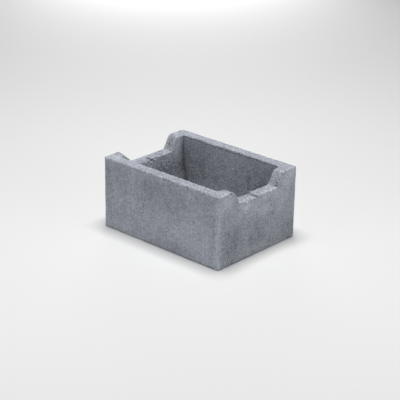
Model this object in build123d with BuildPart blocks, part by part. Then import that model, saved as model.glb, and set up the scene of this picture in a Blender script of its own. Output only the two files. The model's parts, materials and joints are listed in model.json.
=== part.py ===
"""Hollow concrete formwork block, cast as one piece.

A bottomless box stands on its bed face: two long side walls at full height, and two end walls whose
tops are notched for the reinforcement. The core between them draws in towards the bed, so that the
walls thicken downwards. +X runs along the block and +Z is up, with the origin in the middle of the bed.
Sizes are in millimetres.
"""

import os

from build123d import *

# The block's outside
length = 390.0
width = 290.0
height = 190.0
corner_radius = 5.0

# Wall thicknesses at the top and at the bed, which give the core its draft
side_wall_at_top = 30.0
side_wall_at_bed = 34.0
end_wall_at_top = 30.0
end_wall_at_bed = 40.0
core_corner_radius = 10.0

# The notch in the top of each end wall: a level floor between two sloping flanks, which leave
# a full-height horn of the end wall against each side wall
notch_depth = 36.0
notch_flank_run = 22.0
horn_width = 24.0
notch_root_radius = 7.0
notch_shoulder_radius = 10.0

# The rounded arris around the top, the notches and the bed
arris_radius = 2.0

# A face is part of an upright wall where the vertical share of its normal is under this
upright_share = 0.2

# How far a cutting shape reaches past the faces that it cuts
overrun = 10.0


def core_size(level):
    """Length and width of the core at a height above the bed."""
    rise = level / height
    end_wall = end_wall_at_bed + rise * (end_wall_at_top - end_wall_at_bed)
    side_wall = side_wall_at_bed + rise * (side_wall_at_top - side_wall_at_bed)
    return length - 2 * end_wall, width - 2 * side_wall


with BuildPart() as block:
    # The outer form
    with BuildSketch():
        RectangleRounded(length, width, corner_radius)
    extrude(amount=height)

    # The core, from its opening below the bed to its wider opening above the top
    for level in (-overrun, height + overrun):
        core_length, core_width = core_size(level)
        with BuildSketch(Plane.XY.offset(level)):
            RectangleRounded(core_length, core_width, core_corner_radius)
    loft(ruled=True, mode=Mode.SUBTRACT)

    # One trapezium, extruded both ways along the block, notches both end walls
    floor_level = height - notch_depth
    mouth_level = height + overrun
    half_floor = width / 2 - side_wall_at_top - horn_width - notch_flank_run
    half_mouth = half_floor + notch_flank_run * (mouth_level - floor_level) / notch_depth
    with BuildSketch(Plane.YZ) as notch:
        with BuildLine():
            Polyline(
                (-half_mouth, mouth_level),
                (-half_floor, floor_level),
                (half_floor, floor_level),
                (half_mouth, mouth_level),
                close=True,
            )
        make_face()
        fillet(notch.vertices().group_by(Axis.Y)[0], notch_root_radius)
    extrude(amount=length / 2 + overrun, both=True, mode=Mode.SUBTRACT)

    # The shoulders, where the flanks turn over into the top: the short edges across the end walls
    top_edges = block.edges().filter_by(Axis.X).group_by(Axis.Z)[-1]
    fillet(top_edges.group_by(SortBy.LENGTH)[0], notch_shoulder_radius)

    # The arris, wherever an upright wall meets the top, a notch or the bed
    walls = block.faces().filter_by(lambda face: abs(face.normal_at().Z) < upright_share)
    arris = walls.edges().filter_by(lambda edge: sum(edge in face.edges() for face in walls) == 1)
    fillet(arris, arris_radius)

os.makedirs("parts", exist_ok=True)
block.part.label = "hollow_block"
export_step(block.part, "parts/hollow_block.step")
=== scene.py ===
"""The looks of a hollow concrete block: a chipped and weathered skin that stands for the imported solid.

Lengths are in metres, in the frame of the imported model: +X along the block, +Z up, the bed on the floor.
Places on the block that were read off the photograph are written in millimetres.
"""

import json
import math
import random

import bpy
import numpy as np
from mathutils import Matrix, Vector

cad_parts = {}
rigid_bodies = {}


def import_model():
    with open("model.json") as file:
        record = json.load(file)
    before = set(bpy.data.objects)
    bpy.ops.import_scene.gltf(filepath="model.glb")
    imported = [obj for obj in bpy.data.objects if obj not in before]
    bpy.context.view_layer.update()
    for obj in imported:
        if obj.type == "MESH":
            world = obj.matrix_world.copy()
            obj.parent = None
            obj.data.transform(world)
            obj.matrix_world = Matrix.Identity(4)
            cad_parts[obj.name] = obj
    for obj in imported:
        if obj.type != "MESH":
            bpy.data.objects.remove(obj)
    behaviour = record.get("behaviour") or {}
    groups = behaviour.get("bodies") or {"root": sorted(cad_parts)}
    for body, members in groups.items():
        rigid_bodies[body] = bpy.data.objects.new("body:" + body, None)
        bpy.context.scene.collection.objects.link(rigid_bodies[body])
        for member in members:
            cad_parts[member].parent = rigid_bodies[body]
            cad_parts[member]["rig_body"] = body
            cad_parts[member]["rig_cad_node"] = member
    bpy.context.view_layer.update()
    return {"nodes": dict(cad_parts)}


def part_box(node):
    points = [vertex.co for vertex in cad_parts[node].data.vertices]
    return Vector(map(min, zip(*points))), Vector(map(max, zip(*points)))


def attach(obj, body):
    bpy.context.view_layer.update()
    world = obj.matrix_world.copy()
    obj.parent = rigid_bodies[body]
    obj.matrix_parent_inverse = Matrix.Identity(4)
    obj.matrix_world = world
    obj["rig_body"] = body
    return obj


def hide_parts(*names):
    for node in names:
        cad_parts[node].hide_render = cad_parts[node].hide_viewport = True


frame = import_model()

MM = 0.001

# The viewpoint, fitted to the block's corners in the photograph
CAMERA_PLACE = (2.0748, -2.2878, 1.3749)
CAMERA_AZIMUTH = math.radians(42.1675)
CAMERA_ELEVATION = math.radians(22.6646)
CAMERA_ROLL = math.radians(0.8856)
CAMERA_LENS_MM = 118.862
CAMERA_SENSOR_MM = 36.0

# The block's outside, in millimetres
BLOCK_LOW, BLOCK_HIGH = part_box("hollow_block")
END = BLOCK_HIGH.x / MM
SIDE = BLOCK_HIGH.y / MM
TOP = BLOCK_HIGH.z / MM

# The core's half length and half width at the bed and at the top, and its corner radius, in millimetres
CORE_AT_BED = (155, 111)
CORE_AT_TOP = (165, 115)
CORE_CORNER_RADIUS = 10

# The notches' depth, half width at the top and the run of each flank, in millimetres
NOTCH_DEPTH = 36
NOTCH_HALF_MOUTH = 91
NOTCH_FLANK_RUN = 22

# How far the painted shade and dirt reach out of the core's corners and stray from them, by height, all in
# millimetres
CORNER_DIRT_AND_SHADE_LEVELS = (80, 112, 130, 180)
CORNER_DIRT_AND_SHADE_REACH = (8, 8, 7.5, 3)
CORNER_DIRT_AND_SHADE_STRAY = (5, 0, 0, 0)

# How far from the core's walls a place still counts as on them, in millimetres
CORE_MARGIN = 2

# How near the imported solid's loose points are merged, how finely the skin is meshed, and the most triangles
# that it keeps
MERGE_WITHIN = 0.01 * MM
SKIN_VOXEL = 1.2 * MM
SKIN_TRIANGLES = 192_000

# The sheet that the skin is laid out on for textures: its map's name, and in millimetres its side, how much
# further from a face a triangle counts for being square to it, and each chart's place
SHEET_MAP = "OFBake"
SHEET_SIDE = 880
SQUARE_MISFIT = 12
CHART_PLACES = [
    # The front, the back and the two ends
    (199, 392), (593, 392), (149, 198), (443, 198),
    # The core's front, back, left and right walls
    (169, 4), (503, 4), (199, 636), (593, 636),
    # The top and the bed
    (199, 731), (593, 731),
]

# Slabs broken off, as places and half sizes in millimetres and turns in degrees
BROKEN_SLABS = [
    # The front half of the right notch's floor
    ((180, -34, 159.5), (30, 32, 7), (-4, 0, -3)),
    # The left notch's near horn, across its inner shoulder
    ((-169, -82, 186), (24, 26, 10), (-35, 19, 0)),
]

# The far horn's worn inner arris, along the left notch's flank: place, half sizes, turn and how ragged it is
WORN_ARRIS = ((-158.5, 79, 173), (8, 7, 26), (-31, 0, 0), 2.5)

# The burr that stands up beside the step in the right notch's floor: place and half sizes in millimetres
BURR = ((166, 3, 154), (3, 5, 3.8))

# Chips out of the arrises, as places and half sizes in millimetres
CHIPS = [
    # The spalled outer edge of the right notch's floor, with pits below it
    ((199, -64, 156), (6, 14, 6)),
    ((199, -42, 155), (8, 13, 7)),
    ((198, -22, 156), (6, 11, 7)),
    ((196, -57, 150), (3, 3, 2)),
    ((196, -47, 148), (3, 3.5, 2)),
    ((189, -26, 151), (3, 3, 3)),
    ((195, -16, 148), (2.5, 3, 2.5)),
    # The crack across that floor, along the foot of its step
    ((167, -9, 152), (4, 1.2, 3)),
    ((176, -5, 152), (4, 1.2, 3)),
    ((187, -4, 151), (4, 1.6, 4)),
    ((194, -5, 151), (4, 2.2, 6)),
    ((191, 1, 153), (3, 1.5, 3)),
    # That notch's near horn: its worn shoulder and two nicks in its outer edge
    ((178, -92, 196), (24, 14, 10)),
    ((194, -89, 189), (7, 6, 6)),
    ((195, -102, 188.5), (4, 5, 1.6)),
    # Nicks down the edge of that notch's far flank
    ((192, 88, 185), (3, 3, 3)),
    ((191, 79, 171), (3, 3, 4)),
    ((189, 75, 164.5), (3, 3, 5)),
    ((189, 71, 157), (4, 3, 3)),
    # The left notch's crumbled inner edge and the crack that runs in from it
    ((-163, -27, 156), (6, 13, 6)),
    ((-165, 8, 153), (4, 4, 4)),
    ((-180, -7, 153), (4, 2.2, 4)),
    ((-173, -7, 152), (5, 3.4, 6)),
    ((-166, -6, 151), (5, 4, 7)),
    ((-162, -3, 150), (4, 5, 7)),
    # Under the front wall's top edge
    ((15, -146, 186), (5, 4.5, 3.6)),
    ((30, -146, 186.5), (4, 4, 3.2)),
    ((60, -146, 187), (3, 3, 2.5)),
    ((74, -146, 187), (3, 3, 2.5)),
    ((91, -146, 187), (5, 4.5, 3.6)),
    # Along the front wall's inner edge
    ((-60, -114, 190), (7, 2.5, 3)),
    ((-18, -114, 190), (5, 2, 2.5)),
    ((40, -114, 190), (8, 2.5, 3)),
    ((83, -114, 190), (5, 2.5, 2.5)),
    ((-108, -114, 190), (5, 2, 3)),
]

# The deeper pits in the front face: X, Z and half sizes in millimetres
FRONT_PITS = [
    (-50, 157, 2.2, 5.0),
    (-79, 137, 2.2, 1.8),
    (-24, 146, 2.6, 1.5),
    (-31, 132, 2.4, 1.5),
    (22, 145, 3.6, 2.2),
    (20, 137, 3.4, 1.4),
    (14, 172, 1.6, 2.0),
    (-82, 81, 3.4, 2.0),
    (32, 119, 2.2, 1.5),
    (-160, 155, 1.8, 1.5),
    (-172, 128, 1.8, 1.5),
    (117, 118, 1.5, 2.0),
]

# Pits in the left end wall's inner face, below its crumbled notch: Y, Z and half sizes in millimetres
LEFT_PITS = [
    (-30, 141, 4.0, 2.5),
    (-19, 146, 3.0, 3.0),
    (-8, 139, 2.6, 2.2),
    (-14, 128, 3.0, 2.0),
    (4, 145, 2.4, 2.0),
    (8, 131, 3.0, 2.0),
    (20, 138, 2.2, 1.8),
    (28, 126, 2.8, 1.8),
    (14, 120, 2.2, 1.8),
    (41, 134, 2.0, 1.6),
    (-38, 130, 2.4, 2.0),
    (33, 142, 2.2, 2.0),
    (47, 121, 2.6, 2.0),
    (56, 128, 2.0, 2.4),
    (63, 149, 2.0, 3.0),
    (38, 116, 2.4, 1.8),
    (66, 118, 2.2, 1.8),
]

# Pits in the back wall's inner face, most of them just under its top edge: X, Z and half sizes in millimetres
BACK_PITS = [
    (-157, 184, 2.4, 2.4),
    (-146, 186, 2.0, 1.6),
    (-138, 184, 2.6, 1.8),
    (-124, 186, 3.4, 1.6),
    (-117, 184, 2.2, 1.6),
    (-95, 185, 2.4, 1.6),
    (-44, 185, 3.0, 1.8),
    (-12, 184, 2.0, 1.6),
    (27, 185, 2.4, 1.6),
    (62, 184, 2.0, 1.6),
    (95, 185, 3.0, 2.0),
    (122, 182, 3.4, 2.4),
    (149, 185, 4.0, 2.2),
    (117, 142, 2.6, 2.0),
    (-104, 163, 2.0, 2.0),
    (-44, 140, 2.0, 1.8),
    (68, 131, 2.6, 1.8),
]

# How deep the pits go in the front, the left wall and the back wall, in millimetres
FRONT_PIT_DEPTH = 2.6
LEFT_PIT_DEPTH = 2.6
BACK_PIT_DEPTH = 2.2

# Nicks in the arrises that the photograph doesn't show: their draw's seed, how many the back and the left end
# have, their sizes in millimetres, how long and how deep they are by size, and how far along they may lie
NICK_SEED = 11
BACK_NICKS = 16
LEFT_NICKS = 8
NICK_SIZES = (2, 4.5)
NICK_LENGTH_SHARE = 1.5
NICK_DEPTH_SHARE = 0.8
NICK_PLACE_SHARE = 0.95

# Broken faces: the grain of their form and of their surface, and the depth of each as a share of raggedness
BREAK_FORM_SIZE = 11 * MM
BREAK_FORM_SHARE = 0.5
BREAK_FACE_SIZE = 4 * MM
BREAK_FACE_SHARE = 0.35

# Lumps with a half size of this many millimetres or more are meshed finer, and slabs are cut this often
LARGE_LUMP = 10
SLAB_CUTS = 40

# How far an arris stands out where it is fully worn, and the smoothing that shows a small or a broad bulge
WORN_ARRIS_BULGE = 1.0 * MM
SMALL_BULGE_PASSES = 6
BROAD_BULGE_PASSES = 24

# The skin's relief: crumbled arrises, more of them near the bed, faint waves, and open pits
CRUMB_SIZE = 4 * MM
CRUMB_DEPTH = 2.6 * MM
BED_CRUMB_SIZE = 7 * MM
BED_CRUMB_DEPTH = 2 * MM
BED_CRUMB_REACH = 8 * MM
WAVE_SIZE = 50 * MM
WAVE_HEIGHT = 0.4 * MM
OPEN_PIT_SIZE = 3.4 * MM
OPEN_PIT_DEPTH = 1.5 * MM

# How much coarser the grit is on tops, on ends and inside the core
TOP_COARSENESS = 1.2
END_COARSENESS = 0.4
CORE_COARSENESS = 0.6

# Painted shade and dirt in pits: the depths at which it starts and gathers, and how much lies in shallow and
# in deep ones
SHALLOW_PIT = 0.25 * MM
DEEP_PIT_START = 0.45 * MM
DEEP_PIT_SPAN = 0.8 * MM
SHALLOW_PIT_DIRT_AND_SHADE = 0.28
DEEP_PIT_DIRT_AND_SHADE = 0.62

# Lighter and darker patches: centre and reach in millimetres, and the change of tone
PATCHES = [
    # The front face
    ((10, -145, 140), (120, 25, 48), -0.12),
    ((-150, -145, 150), (60, 25, 50), -0.04),
    ((105, -145, 60), (120, 25, 62), 0.15),
    ((-40, -145, 55), (110, 25, 40), 0.09),
    ((58, -145, 14), (44, 20, 26), -0.14),
    ((57, -145, 62), (5, 12, 20), 0.16),
    ((-186, -145, 122), (30, 20, 56), -0.14),
    # Painted light along the front's foot, against the floor's shade there
    ((-125, -145, 8), (120, 16, 28), 0.15),
    ((165, -145, 8), (60, 16, 28), 0.17),
    # The front wall's top: duller in the middle, pale at its left end
    ((-10, -130, 190), (140, 16, 6), -0.05),
    ((-168, -128, 190), (52, 26, 8), 0.20),
    # The right end: light above, damp below, and painted highlights along its upright edges
    ((195, -10, 128), (20, 110, 42), 0.22),
    ((195, 105, 140), (20, 50, 70), 0.18),
    ((195, -118, 158), (20, 34, 44), 0.14),
    ((195, -112, 172), (20, 36, 26), 0.34),
    ((195, -46, 144), (20, 36, 18), 0.18),
    ((195, -68, 144), (10, 10, 9), 0.16),
    ((195, -47, 132), (10, 12, 14), 0.20),
    ((195, -34, 138), (10, 8, 10), 0.16),
    ((195, -64, 126), (10, 7, 16), 0.12),
    ((195, -52, 112), (12, 12, 14), -0.14),
    ((195, 32, 146), (16, 40, 14), 0.22),
    ((195, 112, 168), (16, 34, 30), 0.22),
    ((195, 82, 98), (10, 12, 10), 0.12),
    ((195, 30, 104), (12, 34, 30), 0.08),
    ((195, -98, 48), (20, 52, 58), -0.22),
    ((195, -84, 56), (14, 13, 34), -0.09),
    ((195, -114, 84), (16, 20, 20), -0.07),
    ((195, -2, 52), (20, 36, 34), -0.18),
    ((195, -30, 40), (14, 26, 22), -0.14),
    ((195, -4, 60), (12, 12, 12), -0.06),
    ((195, 20, 36), (14, 16, 18), -0.10),
    ((195, -138, 152), (14, 14, 62), 0.12),
    ((195, 68, 140), (14, 30, 26), 0.20),
    ((195, 126, 182), (14, 26, 18), 0.26),
    ((195, 50, 30), (20, 30, 26), -0.06),
    ((195, 124, 28), (20, 34, 36), -0.20),
    # A painted highlight down the front right upright edge
    ((196, -146, 95), (15, 15, 150), 0.22),
    # The right notch: painted shade and dirt in its crack, painted shade in the nick in its near horn, and
    # its duller far horn
    ((180, -4, 149), (20, 5, 5), -0.20),
    ((195, -102, 188), (6, 7, 3), -0.60),
    ((182, 80, 172), (17, 14, 26), -0.04),
    ((180, 102, 190), (20, 14, 10), -0.14),
    # The left notch: painted shade in its crack, and its far horn
    ((-171, -6, 150), (15, 6, 6), -0.25),
    ((-176, 80, 172), (22, 17, 27), -0.26),
    ((-176, 90, 184), (22, 16, 9), -0.14),
    ((-164, 95, 168), (9, 28, 34), 0.46),
    ((-162, 86, 135), (10, 16, 34), 0.16),
    # Inside
    ((-160, 45, 106), (14, 80, 34), -0.36),
    ((-115, 114, 130), (60, 20, 90), -0.14),
    ((0, 114, 150), (95, 20, 60), 0.10),
    # A painted shadow line under the back wall's inner top edge
    ((0, 115, 186), (190, 8, 6), -0.30),
    ((-62, 114, 118), (9, 20, 40), 0.08),
    ((10, 114, 140), (8, 20, 50), 0.08),
    ((66, 114, 120), (12, 20, 34), -0.14),
    ((112, 114, 125), (12, 20, 30), -0.12),
    # The back and the left end
    ((-90, 145, 50), (90, 25, 55), -0.16),
    ((110, 145, 130), (90, 25, 55), 0.12),
    ((60, 145, 20), (80, 25, 30), -0.12),
    ((-195, 60, 45), (25, 70, 55), -0.18),
    ((-195, -60, 125), (25, 70, 50), 0.12),
    # Painted highlights down the other upright edges
    ((-195, -145, 95), (12, 12, 150), 0.12),
    ((-195, 145, 95), (12, 12, 150), 0.12),
    ((195, 145, 95), (12, 12, 150), 0.12),
]

# Where the cement's surface is open and holds voids with painted shade in them: centre and reach in
# millimetres, and how dark
OPEN_GRAIN = [
    ((-162, 15, 128), (14, 110, 60), 1.00),
    ((0, -145, 142), (130, 20, 45), 0.30),
    ((0, 114, 176), (170, 16, 22), 0.40),
]

# The concrete's colours
CEMENT_COOL = (0.304, 0.328, 0.384, 1)
CEMENT_WARM = (0.334, 0.346, 0.376, 1)
# The painted shade and dirt of corners, pits and voids
SHADE_AND_DIRT = (0.056, 0.057, 0.062, 1)
CHALK = (0.50, 0.515, 0.55, 1)

# The cement's variation: noise cells in a metre and detail, and how strongly each kind changes the tone
GRAIN_NOISE = (("Cloud", 14, 2), ("Mottle", 60, 3), ("Sand", 210, 2), ("Speck", 480, 2))
GRIT_WEIGHTS = (("Mottle", 0.32), ("Sand", 0.92), ("Speck", 1.0))
CLOUD_WEIGHT = 0.30
MARK_WEIGHT = 0.30
NOISE_ROUGHNESS = 0.6

# Drag marks, and the runs that make patches ragged: noise cells in a metre across, and the share upright
MARK_CELLS = 190
MARK_UPRIGHT_SHARE = 0.07
RUN_CELLS = 70
RUN_UPRIGHT_SHARE = 0.35
PATCH_RAGGEDNESS = 0.7

# Round voids: their least radius and how much more it can be, both as shares of a cell
VOID_RADIUS_SHARE = 0.16
VOID_RADIUS_SPREAD_SHARE = 0.2

# Pinholes and the voids of open grain: cells in a metre, and the share of the cells that has one
PINHOLE_CELLS = 170.0
PINHOLE_SHARE = 0.12
OPEN_VOID_CELLS = 150.0
OPEN_VOID_SHARE = 0.48

# How much painted shade and dirt the core's corners hold, how much painted shade the pinholes hold, and how
# much chalk shows on worn arrises
CORNER_DIRT_AND_SHADE_AMOUNT = 0.95
PINHOLE_SHADE = 0.3
CHALK_AMOUNT = 0.35

# The concrete's sheen, and its fine relief: the parts that specks, drag marks and pinholes have in it
SHEEN = 0.3
ROUGHNESS_RANGE = (0.84, 0.96)
SPECK_RELIEF = 0.6
MARK_RELIEF = 0.3
PINHOLE_RELIEF = -0.7
RELIEF_HEIGHT = 1.2 * MM
RELIEF_STRENGTH = 0.7

# The floor's side in metres and its colour
FLOOR_SIDE = 14
FLOOR_COLOUR = (0.74, 0.74, 0.74, 1)

# The soft lights: name, place and size in metres, and power in watts
LIGHTS = [
    ("overhead", (0, 0, 3.0), 1.2, 92),
    ("front_fill", (-0.3, -2.8, 0.7), 1.2, 18),
    ("side_fill", (2.8, 0.3, 0.7), 1.2, 17),
    ("back_fill", (-2.0, 2.0, 0.7), 1.2, 16),
]

# How strongly the surround lights the block, and how bright it looks
SURROUND_LIGHT = 0.08
SURROUND_SEEN = 0.85


def select_only(piece):
    """Makes a piece the one that operators act on."""
    bpy.ops.object.select_all(action="DESELECT")
    piece.select_set(True)
    bpy.context.view_layer.objects.active = piece


def apply_modifier(piece, kind, **settings):
    """Adds a modifier with these settings to a piece and applies it."""
    select_only(piece)
    modifier = piece.modifiers.new(kind.lower(), kind)
    for name, value in settings.items():
        setattr(modifier, name, value)
    bpy.ops.object.modifier_apply(modifier=modifier.name)


def read_vectors(items, name):
    """The places or normals of a mesh's vertices or faces as rows of three numbers."""
    values = np.empty(len(items) * 3, np.float32)
    items.foreach_get(name, values)
    return values.reshape(-1, 3)


def write_places(mesh, places):
    """Moves a mesh's vertices to these places."""
    mesh.vertices.foreach_set("co", places.astype(np.float32).ravel())
    mesh.update()


def write_attribute(mesh, name, values):
    """Stores one number for each vertex, for the material to read."""
    attribute = mesh.attributes.new(name, "FLOAT", "POINT")
    attribute.data.foreach_set("value", values.astype(np.float32))


def paint_group(piece, name, weights):
    """A vertex group that holds these weights, in tenths."""
    group = piece.vertex_groups.new(name=name)
    tenths = np.round(weights * 10).astype(int)
    for tenth in range(1, 11):
        group.add(np.nonzero(tenths == tenth)[0].tolist(), tenth / 10, "REPLACE")


# The camera

def add_camera():
    """The photograph's viewpoint."""
    turn = (
        Matrix.Rotation(CAMERA_AZIMUTH, 4, "Z")
        @ Matrix.Rotation(math.pi / 2 - CAMERA_ELEVATION, 4, "X")
        @ Matrix.Rotation(CAMERA_ROLL, 4, "Z")
    )
    bpy.ops.object.camera_add(location=CAMERA_PLACE, rotation=turn.to_euler())
    camera = bpy.context.object
    camera.data.lens = CAMERA_LENS_MM
    camera.data.sensor_width = CAMERA_SENSOR_MM
    bpy.context.scene.camera = camera


# The cast skin

def copy_of_solid():
    """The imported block's mesh as a piece of its own, with its loose triangles merged."""
    select_only(frame["nodes"]["hollow_block"])
    bpy.ops.object.duplicate()
    piece = bpy.context.object
    piece.name = "cast_block"
    bpy.ops.object.parent_clear(type="CLEAR_KEEP_TRANSFORM")
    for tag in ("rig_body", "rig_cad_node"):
        del piece[tag]
    piece.data.materials.clear()
    bpy.ops.object.mode_set(mode="EDIT")
    bpy.ops.mesh.select_all(action="SELECT")
    bpy.ops.mesh.remove_doubles(threshold=MERGE_WITHIN)
    bpy.ops.object.mode_set(mode="OBJECT")
    return piece


def clouds(name, size, detail=2, ramp=None):
    """A soft noise texture of that grain size, with its values spread over a ramp's two stops."""
    texture = bpy.data.textures.new(name, "CLOUDS")
    texture.noise_scale = size
    texture.noise_depth = detail
    if ramp:
        texture.use_color_ramp = True
        dark, light = texture.color_ramp.elements
        dark.position, light.position = ramp
        dark.color = (0, 0, 0, 1)
        light.color = (1, 1, 1, 1)
    return texture


def roughen(piece, texture, depth, middle=0.5, group=""):
    """Moves a piece's surface in and out along its normals by a texture."""
    apply_modifier(
        piece, "DISPLACE", texture=texture, strength=depth, mid_level=middle,
        texture_coords="LOCAL", vertex_group=group,
    )


def finish_lump(ragged):
    """Applies a new lump's place and makes its surface ragged, on a scale in millimetres."""
    lump = bpy.context.object
    bpy.ops.object.transform_apply(location=True, rotation=True, scale=True)
    roughen(lump, clouds("broken_form", BREAK_FORM_SIZE), BREAK_FORM_SHARE * ragged * MM)
    roughen(lump, clouds("broken_face", BREAK_FACE_SIZE, detail=3), BREAK_FACE_SHARE * ragged * MM)
    return lump


def round_lump(place, half_sizes, turn=(0, 0, 0), ragged=None):
    """A pebble, in millimetres and degrees, as ragged as it is thin unless that is given."""
    bpy.ops.mesh.primitive_ico_sphere_add(
        subdivisions=4 if max(half_sizes) < LARGE_LUMP else 5,
        radius=MM, location=[MM * number for number in place], scale=half_sizes,
        rotation=[math.radians(angle) for angle in turn],
    )
    return finish_lump(ragged or min(half_sizes))


def slab_lump(place, half_sizes, turn):
    """A ragged slab, in millimetres and degrees."""
    bpy.ops.mesh.primitive_cube_add(
        size=2 * MM, location=[MM * number for number in place], scale=half_sizes,
        rotation=[math.radians(angle) for angle in turn],
    )
    bpy.ops.object.mode_set(mode="EDIT")
    bpy.ops.mesh.subdivide(number_cuts=SLAB_CUTS)
    bpy.ops.object.mode_set(mode="OBJECT")
    return finish_lump(min(half_sizes))


def core_half_sizes(level):
    """The core's half length and half width at a height above the bed, in millimetres."""
    rise = level / TOP
    return [bed + rise * (top - bed) for bed, top in zip(CORE_AT_BED, CORE_AT_TOP)]


def hidden_nicks():
    """Small nicks along the arrises that the photograph doesn't show, at places from a fixed draw."""
    draw = random.Random(NICK_SEED)
    nicks = []
    for _ in range(BACK_NICKS):
        size = draw.uniform(*NICK_SIZES)
        along = draw.uniform(-NICK_PLACE_SHARE, NICK_PLACE_SHARE)
        level = draw.choice((0, TOP))
        half_sizes = (NICK_LENGTH_SHARE * size, NICK_DEPTH_SHARE * size, size)
        nicks.append(((along * END, SIDE, level), half_sizes))
    for _ in range(LEFT_NICKS):
        size = draw.uniform(*NICK_SIZES)
        along = draw.uniform(-NICK_PLACE_SHARE, NICK_PLACE_SHARE)
        half_sizes = (NICK_DEPTH_SHARE * size, NICK_LENGTH_SHARE * size, size)
        nicks.append(((-END, along * SIDE, 0), half_sizes))
    return nicks


def break_block(piece):
    """Cuts the broken places out of the block and adds the burr that one of them left."""
    lumps = [slab_lump(*slab) for slab in BROKEN_SLABS]
    lumps.append(round_lump(*WORN_ARRIS))
    for place, half_sizes in CHIPS + hidden_nicks():
        lumps.append(round_lump(place, half_sizes))
    for x, z, half_width, half_height in FRONT_PITS:
        lumps.append(round_lump((x, -SIDE, z), (half_width, FRONT_PIT_DEPTH, half_height)))
    for y, z, half_width, half_height in LEFT_PITS:
        wall_x = -core_half_sizes(z)[0]
        lumps.append(round_lump((wall_x, y, z), (LEFT_PIT_DEPTH, half_width, half_height)))
    for x, z, half_width, half_height in BACK_PITS:
        wall_y = core_half_sizes(z)[1]
        lumps.append(round_lump((x, wall_y, z), (half_width, BACK_PIT_DEPTH, half_height)))
    for lump in lumps:
        apply_modifier(piece, "BOOLEAN", operation="DIFFERENCE", solver="MANIFOLD", object=lump)
        bpy.data.objects.remove(lump)

    burr = round_lump(*BURR)
    select_only(piece)
    burr.select_set(True)
    bpy.ops.object.join()
    piece.data.materials.clear()


def bulge(piece, passes):
    """How far each point stands out from what lies around it: above zero on an arris, below in a crease."""
    mesh = piece.data
    places = read_vectors(mesh.vertices, "co")
    facing = read_vectors(mesh.vertices, "normal")
    apply_modifier(piece, "SMOOTH", factor=0.5, iterations=passes)
    stands_out = ((places - read_vectors(mesh.vertices, "co")) * facing).sum(1)
    write_places(mesh, places)
    return stands_out


def corner_dirt_and_shade(places):
    """How much painted shade and dirt places in millimetres get, from 1 in the core's upright corners to 0
    out on its walls.
    """
    half_length, half_width = core_half_sizes(places[:, 2])
    inset = CORE_CORNER_RADIUS * (1 - math.sqrt(0.5))
    stray = np.interp(places[:, 2], CORNER_DIRT_AND_SHADE_LEVELS, CORNER_DIRT_AND_SHADE_STRAY)
    along = abs(places[:, 0]) - (half_length - inset - stray)
    across = abs(places[:, 1]) - (half_width - inset)
    inside = (along < 2 * inset + stray) & (across < 2 * inset)
    reach = np.interp(places[:, 2], CORNER_DIRT_AND_SHADE_LEVELS, CORNER_DIRT_AND_SHADE_REACH)
    return inside * np.exp(-np.hypot(along, across) / reach)


def within_core(places):
    """Which places, in millimetres, lie on the core's walls."""
    half_length, half_width = core_half_sizes(places[:, 2])
    along = abs(places[:, 0]) < half_length + CORE_MARGIN
    across = abs(places[:, 1]) < half_width + CORE_MARGIN
    return along & across


def pit_dirt_and_shade(piece):
    """How much painted shade and dirt each point gets from the pit that it lies in: a little in shallow pits,
    more in deep ones.
    """
    shallow = np.clip(-bulge(piece, SMALL_BULGE_PASSES) / SHALLOW_PIT, 0, 1)
    deep = np.clip((-bulge(piece, BROAD_BULGE_PASSES) - DEEP_PIT_START) / DEEP_PIT_SPAN, 0, 1)
    return SHALLOW_PIT_DIRT_AND_SHADE * shallow + DEEP_PIT_DIRT_AND_SHADE * deep


def charts_at(places):
    """The block's ten faces by places in millimetres.

    Each has how far off the places are, which way it looks, and where the places are on it.
    """
    x, y, z = places.T
    core_x, core_y = core_half_sizes(z)
    past_core_x = np.maximum(abs(x) - core_x, 0)
    past_core_y = np.maximum(abs(y) - core_y, 0)
    top = TOP - NOTCH_DEPTH * np.clip((NOTCH_HALF_MOUTH - abs(y)) / NOTCH_FLANK_RUN, 0, 1)
    return [
        (abs(y + SIDE), (0, -1, 0), x, z),
        (abs(y - SIDE), (0, 1, 0), -x, z),
        (abs(x + END), (-1, 0, 0), -y, z),
        (abs(x - END), (1, 0, 0), y, z),
        (abs(y + core_y) + past_core_x, (0, 1, 0), -x, z),
        (abs(y - core_y) + past_core_x, (0, -1, 0), x, z),
        (abs(x + core_x) + past_core_y, (1, 0, 0), y, z),
        (abs(x - core_x) + past_core_y, (-1, 0, 0), -y, z),
        (abs(z - top), (0, 0, 1), x, y),
        (z, (0, 0, -1), x, -y),
    ]


def lay_flat(piece):
    """Gives a piece of triangles a map for textures, each on the chart of the face that it belongs to."""
    mesh = piece.data
    middles = read_vectors(mesh.polygons, "center") / MM
    facing = read_vectors(mesh.polygons, "normal")
    misfits = [off + SQUARE_MISFIT * (1 - facing @ np.array(way)) for off, way, _, _ in charts_at(middles)]
    chart = np.repeat(np.argmin(misfits, axis=0), 3)
    vertex = np.empty(len(mesh.loops), np.int32)
    mesh.loops.foreach_get("vertex_index", vertex)
    corners = read_vectors(mesh.vertices, "co")[vertex] / MM
    flat = np.empty((len(corners), 2), np.float32)
    for number, (_, _, across, up) in enumerate(charts_at(corners)):
        mine = chart == number
        flat[mine] = np.stack([across, up], 1)[mine] + CHART_PLACES[number]
    layer = mesh.uv_layers.new(name=SHEET_MAP)
    layer.uv.foreach_set("vector", (flat / SHEET_SIDE).ravel())


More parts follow.
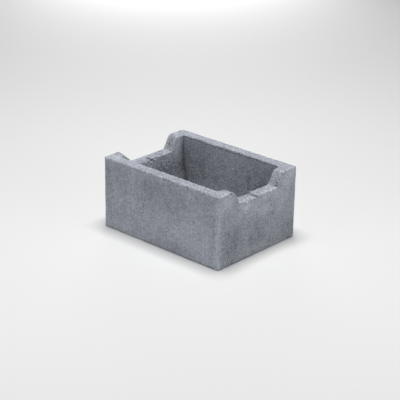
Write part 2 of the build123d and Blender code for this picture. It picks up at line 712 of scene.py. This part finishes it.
def cast_block():
    """The block with broken places, worn arrises and a pitted, grainy surface."""
    piece = copy_of_solid()
    break_block(piece)
    apply_modifier(piece, "REMESH", mode="VOXEL", voxel_size=SKIN_VOXEL)
    mesh = piece.data

    # Crumbled arrises, more so around the bed
    arris = np.clip(bulge(piece, BROAD_BULGE_PASSES) / WORN_ARRIS_BULGE, 0, 1)
    paint_group(piece, "arris", arris)
    facing_up = read_vectors(mesh.vertices, "normal")[:, 2]
    height = read_vectors(mesh.vertices, "co")[:, 2]
    paint_group(piece, "bed_arris", arris * np.clip(2 - height / BED_CRUMB_REACH, 0, 1))
    crumbs = clouds("crumbs", CRUMB_SIZE, detail=3, ramp=(0.40, 0.70))
    roughen(piece, crumbs, -CRUMB_DEPTH, middle=0, group="arris")
    bed_crumbs = clouds("bed_crumbs", BED_CRUMB_SIZE, detail=3, ramp=(0.45, 0.7))
    roughen(piece, bed_crumbs, -BED_CRUMB_DEPTH, middle=0, group="bed_arris")

    # The cast faces: barely wavy, with open pits
    roughen(piece, clouds("cast_waves", WAVE_SIZE), WAVE_HEIGHT)
    roughen(piece, clouds("open_pits", OPEN_PIT_SIZE, ramp=(0.66, 0.80)), -OPEN_PIT_DEPTH, middle=0)

    # What the material reads: wear, the grit's coarseness, and painted shade and dirt in the corners and pits
    write_attribute(mesh, "worn", arris)
    upward = np.clip(facing_up, 0, 1)
    endward = abs(read_vectors(mesh.vertices, "normal")[:, 0])
    places = read_vectors(mesh.vertices, "co") / MM
    coarse = 1 + TOP_COARSENESS * upward + END_COARSENESS * endward + CORE_COARSENESS * within_core(places)
    write_attribute(mesh, "coarse", coarse)
    # The crease: painted shade and dirt in the core's upright corners
    write_attribute(mesh, "crease", corner_dirt_and_shade(places) * (1 - upward))
    # The hollow: painted shade and dirt in pits
    write_attribute(mesh, "hollow", pit_dirt_and_shade(piece))

    # Fewer triangles, none of them under the bed
    triangles = 2 * len(mesh.polygons)
    apply_modifier(piece, "DECIMATE", ratio=SKIN_TRIANGLES / triangles, use_collapse_triangulate=True)
    places = read_vectors(mesh.vertices, "co")
    places[:, 2] = np.maximum(places[:, 2], BLOCK_LOW.z)
    write_places(mesh, places)
    lay_flat(piece)
    select_only(piece)
    bpy.ops.object.shade_smooth()
    return piece


# The concrete's finish

def fill_socket(tree, socket, value):
    """Links a node's input to another socket, or sets it to a value."""
    if isinstance(value, bpy.types.NodeSocket):
        tree.links.new(value, socket)
    else:
        socket.default_value = value


def add_node(tree, kind, sockets=None, **settings):
    """Adds a shader node, sets its properties, and fills its inputs with values or links."""
    made = tree.nodes.new("ShaderNode" + kind)
    for name, value in settings.items():
        setattr(made, name, value)
    for key, value in (sockets or {}).items():
        fill_socket(tree, made.inputs[key], value)
    return made


def sum_up(tree, operation, *numbers):
    """The result of a Math node."""
    made = add_node(tree, "Math", operation=operation)
    for socket, number in zip(made.inputs, numbers):
        fill_socket(tree, socket, number)
    return made.outputs[0]


def spread(tree, number, low, high, smooth=False):
    """A number brought to 0 at low and 1 at high."""
    made = add_node(tree, "MapRange", {"Value": number, "From Min": low, "From Max": high})
    made.interpolation_type = "SMOOTHSTEP" if smooth else "LINEAR"
    return made.outputs["Result"]


def noise(tree, place, scale, detail):
    """A soft noise over the surface, from 0 to 1."""
    made = add_node(tree, "TexNoise", {
        "Vector": place, "Scale": scale, "Detail": detail, "Roughness": NOISE_ROUGHNESS,
    })
    return made.outputs["Fac"]


def new_group(name, inputs, outputs):
    """An empty node group with these named sockets: its tree, its inputs and its outputs."""
    tree = bpy.data.node_groups.new(name, "ShaderNodeTree")
    for label, kind in inputs.items():
        tree.interface.new_socket(label, in_out="INPUT", socket_type="NodeSocket" + kind)
    for label, kind in outputs.items():
        tree.interface.new_socket(label, in_out="OUTPUT", socket_type="NodeSocket" + kind)
    return tree, tree.nodes.new("NodeGroupInput").outputs, tree.nodes.new("NodeGroupOutput").inputs


def place_group(tree, group, sockets):
    """Places a node group in a material with its own values and gives its outputs."""
    made = add_node(tree, "Group", node_tree=group)
    for key, value in sockets.items():
        fill_socket(tree, made.inputs[key], value)
    return made.outputs


def cement_grain_group():
    """The cement's own variation, from broad clouds to single grains of sand."""
    tree, given, result = new_group(
        "cement_grain", {"Place": "Vector"},
        {"Cloud": "Float", "Mottle": "Float", "Sand": "Float", "Speck": "Float"},
    )
    for label, scale, detail in GRAIN_NOISE:
        tree.links.new(noise(tree, given["Place"], scale, detail), result[label])
    return tree


def drag_marks_group():
    """Fine upright lines that the mould leaves as it is drawn off."""
    tree, given, result = new_group("drag_marks", {"Place": "Vector"}, {"Mark": "Float"})
    drawn = add_node(tree, "Mapping", {"Vector": given["Place"], "Scale": (1, 1, MARK_UPRIGHT_SHARE)})
    tree.links.new(noise(tree, drawn.outputs["Vector"], MARK_CELLS, 3), result["Mark"])
    return tree


def pinholes_group():
    """Small round voids, each in a cell of its own: no more than a share of the cells has one."""
    tree, given, result = new_group(
        "pinholes", {"Place": "Vector", "Cells": "Float", "Share": "Float"}, {"Hole": "Float"}
    )
    cells = add_node(tree, "TexVoronoi", {"Vector": given["Place"], "Scale": given["Cells"]})
    draw = add_node(tree, "SeparateColor", {"Color": cells.outputs["Color"]})
    present = sum_up(tree, "LESS_THAN", draw.outputs["Red"], given["Share"])
    radius = sum_up(
        tree, "MULTIPLY_ADD", draw.outputs["Green"], VOID_RADIUS_SPREAD_SHARE, VOID_RADIUS_SHARE
    )
    inner = sum_up(tree, "MULTIPLY", radius, 0.5)
    depth = add_node(
        tree, "MapRange",
        {"Value": cells.outputs["Distance"], "From Min": radius, "From Max": inner},
        interpolation_type="SMOOTHSTEP",
    )
    tree.links.new(sum_up(tree, "MULTIPLY", depth.outputs["Result"], present), result["Hole"])
    return tree


def weather_patch_group():
    """A ragged patch around a place, stretched upright where it has run."""
    tree, given, result = new_group(
        "weather_patch", {"Place": "Vector", "Centre": "Vector", "Reach": "Vector", "Ragged": "Float"},
        {"Patch": "Float"},
    )
    offset = add_node(tree, "VectorMath", operation="SUBTRACT")
    tree.links.new(given["Place"], offset.inputs[0])
    tree.links.new(given["Centre"], offset.inputs[1])
    share = add_node(tree, "VectorMath", operation="DIVIDE")
    tree.links.new(offset.outputs["Vector"], share.inputs[0])
    tree.links.new(given["Reach"], share.inputs[1])
    away = add_node(tree, "VectorMath", operation="LENGTH")
    tree.links.new(share.outputs["Vector"], away.inputs[0])
    run = add_node(tree, "Mapping", {"Vector": given["Place"], "Scale": (1, 1, RUN_UPRIGHT_SHARE)})
    edge = sum_up(tree, "SUBTRACT", noise(tree, run.outputs["Vector"], RUN_CELLS, 4), 0.5)
    ragged = sum_up(tree, "MULTIPLY_ADD", edge, given["Ragged"], away.outputs["Value"])
    tree.links.new(spread(tree, ragged, 1.1, 0.2, smooth=True), result["Patch"])
    return tree


def patch_at(tree, patch_group, place, centre, reach):
    """A ragged patch in a material, with its centre and reach in millimetres."""
    settings = {"Place": place, "Ragged": PATCH_RAGGEDNESS}
    settings["Centre"] = [MM * number for number in centre]
    settings["Reach"] = [MM * number for number in reach]
    return place_group(tree, patch_group, settings)["Patch"]


def concrete_material():
    """Grey concrete: mottled, gritty, pitted and dragged, pale along its arrises, with painted shade and dirt
    in its corners and pits.
    """
    material = bpy.data.materials.new("weathered_concrete")
    material.use_nodes = True
    tree = material.node_tree
    shader = tree.nodes["Principled BSDF"]
    shader.inputs["Specular IOR Level"].default_value = SHEEN
    place = add_node(tree, "TexCoord").outputs["Object"]

    grain = place_group(tree, cement_grain_group(), {"Place": place})
    mark = place_group(tree, drag_marks_group(), {"Place": place})["Mark"]
    voids = pinholes_group()
    hole = place_group(
        tree, voids, {"Place": place, "Cells": PINHOLE_CELLS, "Share": PINHOLE_SHARE}
    )["Hole"]
    open_void = place_group(
        tree, voids, {"Place": place, "Cells": OPEN_VOID_CELLS, "Share": OPEN_VOID_SHARE}
    )["Hole"]
    patch_group = weather_patch_group()

    # How light the cement is
    coarse = add_node(tree, "Attribute", attribute_name="coarse").outputs["Fac"]
    grit = 0.0
    for label, weight in GRIT_WEIGHTS:
        grit = sum_up(tree, "MULTIPLY_ADD", sum_up(tree, "SUBTRACT", grain[label], 0.5), weight, grit)
    tone = sum_up(tree, "MULTIPLY_ADD", grit, coarse, 1.0)
    for value, weight in ((grain["Cloud"], CLOUD_WEIGHT), (mark, MARK_WEIGHT)):
        tone = sum_up(tree, "MULTIPLY_ADD", sum_up(tree, "SUBTRACT", value, 0.5), weight, tone)
    streak = spread(tree, mark, 0.2, 0.8)
    streak = sum_up(tree, "ADD", streak, 0.5)
    for centre, reach, change in PATCHES:
        patch = patch_at(tree, patch_group, place, centre, reach)
        tone = sum_up(tree, "MULTIPLY_ADD", sum_up(tree, "MULTIPLY", patch, streak), change, tone)

    # Painted shade and dirt in the pits, corners and voids, and paler wear along the arrises
    worn = add_node(tree, "Attribute", attribute_name="worn").outputs["Fac"]
    crease = add_node(tree, "Attribute", attribute_name="crease").outputs["Fac"]
    hollow = add_node(tree, "Attribute", attribute_name="hollow").outputs["Fac"]
    cement = add_node(
        tree, "Mix", {"Factor": grain["Mottle"], "A": CEMENT_COOL, "B": CEMENT_WARM}, data_type="RGBA"
    ).outputs["Result"]
    toned = add_node(tree, "VectorMath", {0: cement, "Scale": tone}, operation="SCALE").outputs["Vector"]
    shade_and_dirt = sum_up(tree, "MULTIPLY", crease, CORNER_DIRT_AND_SHADE_AMOUNT)
    shade_and_dirt = sum_up(tree, "MAXIMUM", shade_and_dirt, hollow)
    # Painted shade in the pinholes and in the voids of open grain
    shade_and_dirt = sum_up(tree, "MAXIMUM", shade_and_dirt, sum_up(tree, "MULTIPLY", hole, PINHOLE_SHADE))
    for centre, reach, darkness in OPEN_GRAIN:
        patch = patch_at(tree, patch_group, place, centre, reach)
        void_shade = sum_up(tree, "MULTIPLY", sum_up(tree, "MULTIPLY", open_void, patch), darkness)
        shade_and_dirt = sum_up(tree, "MAXIMUM", shade_and_dirt, void_shade)
    shaded_and_soiled = add_node(
        tree, "Mix", {"Factor": shade_and_dirt, "A": toned, "B": SHADE_AND_DIRT}, data_type="RGBA"
    ).outputs["Result"]
    chalk = sum_up(tree, "MULTIPLY", worn, spread(tree, grain["Sand"], 0.35, 0.75))
    chalk = sum_up(tree, "MULTIPLY", chalk, CHALK_AMOUNT)
    colour = add_node(
        tree, "Mix", {"Factor": chalk, "A": shaded_and_soiled, "B": CHALK}, data_type="RGBA"
    ).outputs["Result"]
    tree.links.new(colour, shader.inputs["Base Color"])

    smoothest, roughest = ROUGHNESS_RANGE
    roughness = add_node(tree, "MapRange", {
        "Value": grain["Mottle"], "From Min": 0.3, "From Max": 0.7, "To Min": smoothest, "To Max": roughest,
    }).outputs["Result"]
    tree.links.new(roughness, shader.inputs["Roughness"])

    # Grit, drag marks and pinholes as relief
    relief = sum_up(tree, "MULTIPLY_ADD", grain["Speck"], SPECK_RELIEF, grain["Sand"])
    relief = sum_up(tree, "MULTIPLY_ADD", mark, MARK_RELIEF, relief)
    relief = sum_up(tree, "MULTIPLY_ADD", hole, PINHOLE_RELIEF, relief)
    bump = add_node(
        tree, "Bump", {"Height": relief, "Strength": RELIEF_STRENGTH, "Distance": RELIEF_HEIGHT}
    )
    tree.links.new(bump.outputs["Normal"], shader.inputs["Normal"])
    return material


# The floor and the light

def add_floor():
    """A plain pale floor."""
    bpy.ops.mesh.primitive_plane_add(size=FLOOR_SIDE, location=(0, 0, 0))
    floor = bpy.context.object
    floor.name = "floor"
    material = bpy.data.materials.new("pale_floor")
    material.use_nodes = True
    shader = material.node_tree.nodes["Principled BSDF"]
    shader.inputs["Base Color"].default_value = FLOOR_COLOUR
    shader.inputs["Roughness"].default_value = 0.9
    floor.data.materials.append(material)


def add_light(name, place, size, power):
    """A square soft light that faces the block."""
    bpy.ops.object.light_add(type="AREA", location=place)
    light = bpy.context.object
    light.name = name
    light.data.size = size
    light.data.energy = power
    light.rotation_euler = (-Vector(place)).to_track_quat("-Z", "Y").to_euler()


def add_lights():
    """A soft light above, low fills around the block, and a pale surround that hardly lights it."""
    world = bpy.data.worlds.new("studio")
    bpy.context.scene.world = world
    world.use_nodes = True
    tree = world.node_tree
    seen = add_node(tree, "LightPath").outputs["Is Camera Ray"]
    background = tree.nodes["Background"]
    background.inputs["Color"].default_value = (1, 1, 1, 1)
    strength = add_node(
        tree, "MapRange", {"Value": seen, "To Min": SURROUND_LIGHT, "To Max": SURROUND_SEEN}
    )
    tree.links.new(strength.outputs["Result"], background.inputs["Strength"])
    for light in LIGHTS:
        add_light(*light)


add_camera()
add_floor()
add_lights()
block = cast_block()
block.data.materials.append(concrete_material())
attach(block, "root")
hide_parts("hollow_block")

bpy.context.scene.view_settings.view_transform = "Standard"
